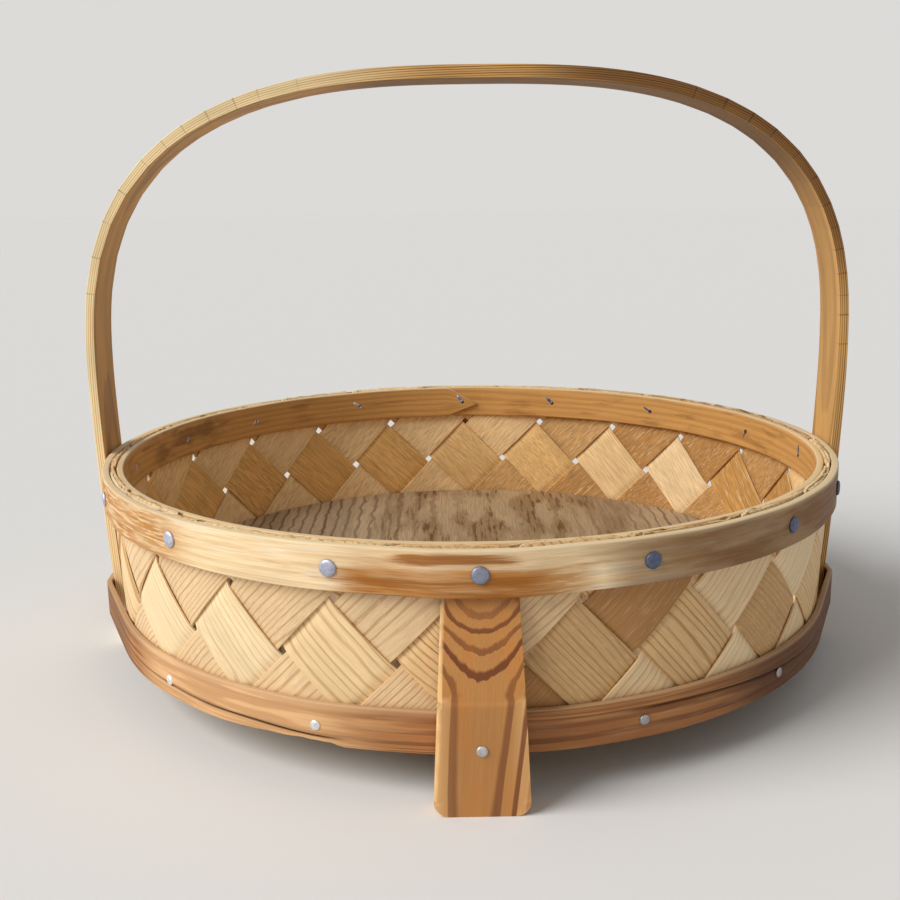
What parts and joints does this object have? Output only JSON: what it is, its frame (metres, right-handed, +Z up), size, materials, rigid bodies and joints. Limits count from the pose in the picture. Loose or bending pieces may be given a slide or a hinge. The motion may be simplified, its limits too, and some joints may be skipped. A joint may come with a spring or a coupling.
{
  "type": "splint basket",
  "caption": "Round shallow basket woven of broad wooden splints, with riveted rim hoops, a nailed base band, a flat wooden bottom, short feet and a tall fixed bent-wood handle.",
  "frame": {"origin": "on the basket's axis at table height, under the middle of the base board", "axes": "+Z up along the basket's axis; -Y towards the front foot; the handle stands in the XZ plane"},
  "size_m": [0.311, 0.316, 0.2365],
  "materials": {
    "board_wood": "weathered unfinished pine",
    "outer_hoop_wood": "worn clear varnish on pine",
    "inner_hoop_wood": "clear varnish on pine",
    "band_wood": "worn brown-stained pine",
    "handle_wood": "clear varnish on pine",
    "foot_wood": "clear varnish on pine",
    "right_splint_wood": "smooth split pine",
    "left_splint_wood": "smooth split pine",
    "rivet_steel": "dull domed steel",
    "nail_steel": "bright steel"
  },
  "bodies": {
    "root": {"base_board": "board_wood", "rim_outer_hoop": "outer_hoop_wood", "rim_inner_hoop": "inner_hoop_wood", "base_band": "band_wood", "handle": "handle_wood", "foot_front": "foot_wood", "foot_back": "foot_wood", "rim_rivets": "rivet_steel", "foot_rivets": "rivet_steel", "handle_rivets": "rivet_steel", "base_nails": "nail_steel", "foot_nails": "nail_steel", "handle_nails": "nail_steel", "right_splint_01": "right_splint_wood", "right_splint_02": "right_splint_wood", "right_splint_03": "right_splint_wood", "right_splint_04": "right_splint_wood", "right_splint_05": "right_splint_wood", "right_splint_06": "right_splint_wood", "right_splint_07": "right_splint_wood", "right_splint_08": "right_splint_wood", "right_splint_09": "right_splint_wood", "right_splint_10": "right_splint_wood", "right_splint_11": "right_splint_wood", "right_splint_12": "right_splint_wood", "right_splint_13": "right_splint_wood", "right_splint_14": "right_splint_wood", "right_splint_15": "right_splint_wood", "right_splint_16": "right_splint_wood", "right_splint_17": "right_splint_wood", "right_splint_18": "right_splint_wood", "right_splint_19": "right_splint_wood", "right_splint_20": "right_splint_wood", "right_splint_21": "right_splint_wood", "right_splint_22": "right_splint_wood", "left_splint_01": "left_splint_wood", "left_splint_02": "left_splint_wood", "left_splint_03": "left_splint_wood", "left_splint_04": "left_splint_wood", "left_splint_05": "left_splint_wood", "left_splint_06": "left_splint_wood", "left_splint_07": "left_splint_wood", "left_splint_08": "left_splint_wood", "left_splint_09": "left_splint_wood", "left_splint_10": "left_splint_wood", "left_splint_11": "left_splint_wood", "left_splint_12": "left_splint_wood", "left_splint_13": "left_splint_wood", "left_splint_14": "left_splint_wood", "left_splint_15": "left_splint_wood", "left_splint_16": "left_splint_wood", "left_splint_17": "left_splint_wood", "left_splint_18": "left_splint_wood", "left_splint_19": "left_splint_wood", "left_splint_20": "left_splint_wood", "left_splint_21": "left_splint_wood", "left_splint_22": "left_splint_wood"}
  },
  "joints": []
}
